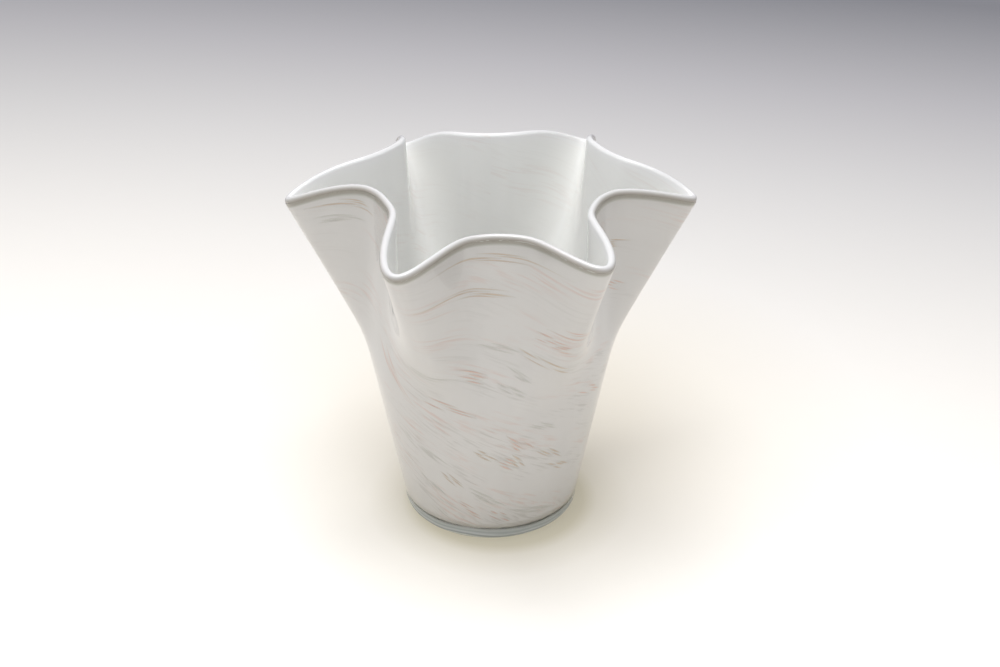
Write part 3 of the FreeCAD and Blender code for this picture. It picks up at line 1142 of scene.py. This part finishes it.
SMOKE_STREAKS = (
    Streak(266, 1.36, 281, 1.31, 0.7),
    Streak(281, 1.18, 290, 1.10, 0.7),
    Streak(277, 1.08, 287, 1.01, 0.7),
    Streak(237, 1.18, 253, 1.15, 0.7),
    Streak(292, 0.81, 301, 0.76, 0.8),
    Streak(228, 0.39, 238, 0.31, 0.7),
    Streak(262, 0.34, 277, 0.26, 0.8),
    Streak(284, 0.22, 308, 0.16, 0.7),
    Streak(217, 0.66, 227, 0.59, 0.7),
    Streak(227, 0.62, 241, 0.54, 0.7),
    Streak(186, 1.82, 194, 1.80, 0.7),
    Streak(4, 0.70, 16, 0.62, 0.8),
    Streak(84, 1.05, 98, 0.96, 0.8),
    Streak(170, 0.34, 184, 0.27, 0.8),
)


@dataclass
class Streaks:
    """Streaks of one colour, each a bundle of fine hairs lying on the opal inside the clear glass.

    Starts, runs and overruns are shares of a streak's length. Each hair has its own part of that length.
    """

    wall: Wall
    hue: Hue
    rows: tuple[Streak, ...]
    finish: ThreadGlass
    breadth: float = 0.0024
    hairs: int = 4
    overrun: float = 0.45
    fan_share: float = 1.5
    latest_start: float = 0.50
    run_shares: tuple[float, float] = (0.55, 1.10)
    fullness_shares: tuple[float, float] = (0.55, 1.25)
    sway: float = 0.05
    sway_breadth: float = 0.3
    end_share: float = 0.03
    taper: float = 0.7
    hair_breadth: float = 0.0012
    hair_depth: float = 0.0001
    hair_lift: float = 0.00007
    edge_share: float = 0.48
    stations: int = 22
    sides: int = 8
    seed_step: int = 100
    map_step: int = 31

    def hair(self, streak: Streak, rng: random.Random, number: int) -> np.ndarray:
        """The rings of one hair.

        Args:
            streak: The streak that it belongs to.
            rng: Source of the small differences.
            number: Which hair of the bundle it is.

        Returns:
            Points by station and side.
        """
        spread = (number + 0.5) / self.hairs * 2 - 1
        start = rng.uniform(-self.overrun, self.latest_start)
        end = min(1 + self.overrun, start + rng.uniform(*self.run_shares))
        share = rng.uniform(*self.fullness_shares)
        sway = rng.uniform(-self.sway, self.sway)
        ways = np.linspace(start, end, self.stations)
        angle = np.radians(streak.start_degrees + (streak.end_degrees - streak.start_degrees) * ways)
        rise = streak.start_rise + (streak.end_rise - streak.start_rise) * ways
        taper = np.sin(np.linspace(self.end_share, 1 - self.end_share, self.stations) * math.pi) ** self.taper
        aside = np.full_like(ways, spread * self.breadth * streak.breadth_share * self.fan_share)
        aside = aside + sway * self.breadth * self.sway_breadth * np.sin(ways * FULL_TURN)
        out = self.wall.layer_out + self.hair_lift
        here = self.wall.point(angle, rise, out)
        outward, _ = self.wall.directions(angle, rise)
        along = np.gradient(here, axis=0)
        along /= np.linalg.norm(along, axis=-1, keepdims=True)
        across = np.cross(outward, along)
        rings = []
        for side in range(self.sides):
            turn = FULL_TURN * side / self.sides
            sideways = aside + self.hair_breadth / 2 * share * taper * math.cos(turn)
            lift = self.hair_depth / 2 * share * taper * math.sin(turn)
            rings.append(here + across * sideways[:, None] + outward * lift[:, None])
        return np.stack(rings, axis=1)

    def across(self, side: int) -> float:
        """How far across the hair a side's corner lies, just short of 0 to 1."""
        return 0.5 + self.edge_share * math.cos(FULL_TURN * side / self.sides)

    def mesh(self, name: str, streak: Streak, seed: int) -> bpy.types.Mesh:
        """The mesh of a whole streak.

        Args:
            name: The mesh's name.
            streak: The streak.
            seed: Seed of its small differences.

        Returns:
            The mesh.
        """
        rng = random.Random(seed)
        vertices: list[list[float]] = []
        faces: list[tuple[int, ...]] = []
        places: list[tuple[float, float]] = []
        for number in range(self.hairs):
            base = len(vertices)
            vertices += self.hair(streak, rng, number).reshape(-1, 3).tolist()
            edge = seed * self.map_step + number
            for station in range(self.stations - 1):
                low = base + station * self.sides
                left, right = station / (self.stations - 1), (station + 1) / (self.stations - 1)
                for side in range(self.sides):
                    onward = (side + 1) % self.sides
                    high = low + self.sides
                    faces.append((low + side, high + side, high + onward, low + onward))
                    near, far = edge + self.across(side), edge + self.across(onward)
                    places += [(left, near), (right, near), (right, far), (left, far)]
            faces.append(tuple(base + side for side in range(self.sides)))
            places += [(0.0, edge + 0.5)] * self.sides
            last = base + (self.stations - 1) * self.sides
            faces.append(tuple(last + side for side in reversed(range(self.sides))))
            places += [(1.0, edge + 0.5)] * self.sides
        mesh = bpy.data.meshes.new(name)
        mesh.from_pydata(vertices, [], faces)
        layer = mesh.uv_layers.new(name="along_and_hair")
        layer.data.foreach_set("uv", np.array(places, np.float32).ravel())
        mesh.polygons.foreach_set("use_smooth", [True] * len(mesh.polygons))
        mesh.update()
        return mesh

    def build(self) -> list[bpy.types.Object]:
        """Makes every streak of this colour.

        Returns:
            The objects.
        """
        material = self.finish.material()
        colour = self.hue.value
        pieces = []
        for number, streak in enumerate(self.rows, start=1):
            seed = len(colour) * self.seed_step + number
            mesh = self.mesh(f"{colour}_hairs_{number:02d}", streak, seed)
            pieces.append(show(mesh, material, f"{colour}_glass", f"{colour}_streak_{number:02d}"))
        LOG.info("%s streaks: %d", colour, len(pieces))
        return pieces


@dataclass(frozen=True)
class PaintedFloorShadow:
    """A painted shadow on the floor: its colour, its middle, how fast it fades per metre, its strength, and
    its stops outward.
    """

    colour: Colour
    middle: Place
    fade: float
    strength: float
    stops: Stops


@dataclass(frozen=True)
class PaleBoard:
    """The floor's finish: pale board that shades off behind the vase, with painted shadows under and behind
    it.
    """

    shades: Tones = (
        (0.000, (248, 245, 240)), (0.064, (246, 242, 236)), (0.136, (230, 227, 223)),
        (0.208, (211, 209, 208)), (0.288, (187, 185, 188)), (0.400, (141, 141, 147)),
        (0.560, (178, 178, 184)), (1.000, (206, 206, 211)),
    )
    slant: float = 0.30
    start: float = 0.2
    length: float = 4.0
    # Painted shadows: a small olive-beige one round the foot, tinted as light through the glass would tint it,
    # and a wide warm one behind the vase.
    painted_shadows: tuple[PaintedFloorShadow, ...] = (
        PaintedFloorShadow((196, 189, 160), (0.006, -0.006, 0.0), 5.0, 0.75,
             ((0.29, 1.0), (0.34, 0.48), (0.46, 0.16), (0.90, 0.0))),
        PaintedFloorShadow((214, 205, 186), (0.03, 0.12, 0.0), 3.8, 0.55,
             ((0.0, 1.0), (0.30, 0.9), (0.62, 0.45), (1.0, 0.0))),
    )
    speck: Colour = (200, 196, 190)
    speck_grain: Grain = Grain(60.0)
    speck_share: float = 0.05
    glow: float = 1.2
    glow_share: float = 0.34

    def material(self) -> bpy.types.Material:
        """Builds the finish.

        Returns:
            The material.
        """
        paint = Painter("pale_board")
        place = paint.node("ShaderNodeNewGeometry").outputs["Position"]
        aside, behind, _ = paint.axes(place)
        slanted = paint.math("MULTIPLY_ADD", aside, self.slant, behind)
        way = paint.math("DIVIDE", paint.math("ADD", slanted, self.start), self.length)
        shades = paint.tones(way, self.shades)
        # Lays each painted shadow over the floor's shades.
        for tint in self.painted_shadows:
            away = paint.math("MULTIPLY", paint.away(place, tint.middle), tint.fade)
            share = paint.math("MULTIPLY", paint.shares(away, tint.stops), tint.strength)
            shades = paint.mix(share, shades, linear(*tint.colour))
        specks = paint.noise(paint.stretched(EVEN, source="Object"), self.speck_grain)
        diffuse = paint.node("ShaderNodeBsdfDiffuse")
        tone = paint.mix(paint.math("MULTIPLY", specks, self.speck_share), shades, linear(*self.speck))
        paint.join(tone, diffuse.inputs["Color"])
        glow = paint.node("ShaderNodeEmission")
        paint.join(shades, glow.inputs["Color"])
        glow.inputs["Strength"].default_value = self.glow
        seen = paint.rays("Is Camera Ray", "Is Glossy Ray", "Is Transmission Ray")
        return paint.done(paint.blend(paint.math("MULTIPLY", seen, self.glow_share), diffuse, glow))


def placed(name: str, data: bpy.types.ID, place: Place, aim: Place) -> bpy.types.Object:
    """Stands a lamp or a camera in the scene.

    Args:
        name: Its name.
        data: The lamp or camera.
        place: Where it stands.
        aim: What it points at.

    Returns:
        The object.
    """
    stand = bpy.data.objects.new(name, data)
    stand.location = place
    facing = Vector(aim) - Vector(place)
    stand.rotation_euler = facing.to_track_quat("-Z", "Y").to_euler()
    bpy.context.scene.collection.objects.link(stand)
    return stand


@dataclass(frozen=True)
class Lamp:
    """A soft lamp: where it stands, what it points at, its width and height, and its power in watts."""

    name: str
    place: Place
    aim: Place
    size: tuple[float, float]
    power: float

    def build(self) -> None:
        """Sets the lamp."""
        light = bpy.data.lights.new(self.name, "AREA")
        light.shape = "RECTANGLE"
        light.size, light.size_y = self.size
        light.energy = self.power
        placed(self.name, light, self.place, self.aim)


@dataclass
class Studio:
    """A pale floor, soft lamps, grey air and the camera."""

    board: PaleBoard
    floor_size: float = 40.0
    floor_gap: float = 0.0002
    lamps: tuple[Lamp, ...] = (
        Lamp("overhead", (-0.12, -0.05, 1.50), (0.0, 0.0, 0.1), (1.0, 0.9), 21.0),
        Lamp("front_left", (-0.85, -1.25, 0.75), (0.0, 0.0, 0.15), (0.9, 1.0), 1.4),
        Lamp("front_right", (0.85, -1.25, 0.75), (0.0, 0.0, 0.15), (0.9, 1.0), 1.6),
    )
    air: Colour = (226, 227, 232)
    air_strength: float = 0.62
    camera_place: Place = (0.00644, -0.88, 0.60048)
    camera_aim: Place = (0.00644, 0.0, 0.12542)
    lens: float = 54.46
    sensor: float = 36.0

    def floor(self) -> None:
        """Makes the floor, just under the foot."""
        half = self.floor_size / 2
        mesh = bpy.data.meshes.new("floor")
        mesh.from_pydata([(-half, -half, 0), (half, -half, 0), (half, half, 0), (-half, half, 0)], [],
                         [(0, 1, 2, 3)])
        piece = bpy.data.objects.new("floor", mesh)
        piece.location.z = -self.floor_gap
        bpy.context.scene.collection.objects.link(piece)
        mesh.materials.append(self.board.material())

    def world(self) -> None:
        """Fills the studio with even grey light."""
        world = bpy.data.worlds.new("studio_air")
        world.use_nodes = True
        bpy.context.scene.world = world
        sky = world.node_tree.nodes["Background"]
        sky.inputs["Color"].default_value = linear(*self.air)
        sky.inputs["Strength"].default_value = self.air_strength

    def camera(self) -> None:
        """Sets the camera at the photograph's angle."""
        data = bpy.data.cameras.new("camera")
        data.lens = self.lens
        data.sensor_width = self.sensor
        bpy.context.scene.camera = placed("camera", data, self.camera_place, self.camera_aim)

    def build(self) -> None:
        """Makes the floor, lamps, air and camera."""
        self.floor()
        for lamp in self.lamps:
            lamp.build()
        self.world()
        self.camera()
        bpy.context.scene.view_settings.view_transform = "Standard"
        LOG.info("studio set")


def main() -> None:
    """Builds the vase and its studio."""
    logging.basicConfig(level=logging.INFO)
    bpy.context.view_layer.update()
    Studio(PaleBoard()).build()
    wall = Wall()
    lining = OpalLining(wall, OpalGlass())
    lining.build()
    ClearCasing(wall, lining, ClearGlass()).build()
    for hue, rows, deep in (
        (Hue.AMBER, AMBER_STREAKS, (190, 156, 124)),
        (Hue.ROSE, ROSE_STREAKS, (206, 152, 134)),
        (Hue.SMOKE, SMOKE_STREAKS, (186, 182, 177)),
    ):
        Streaks(wall, hue, rows, ThreadGlass(f"{hue.value}_glass", deep)).build()


if __name__ == "__main__":
    main()
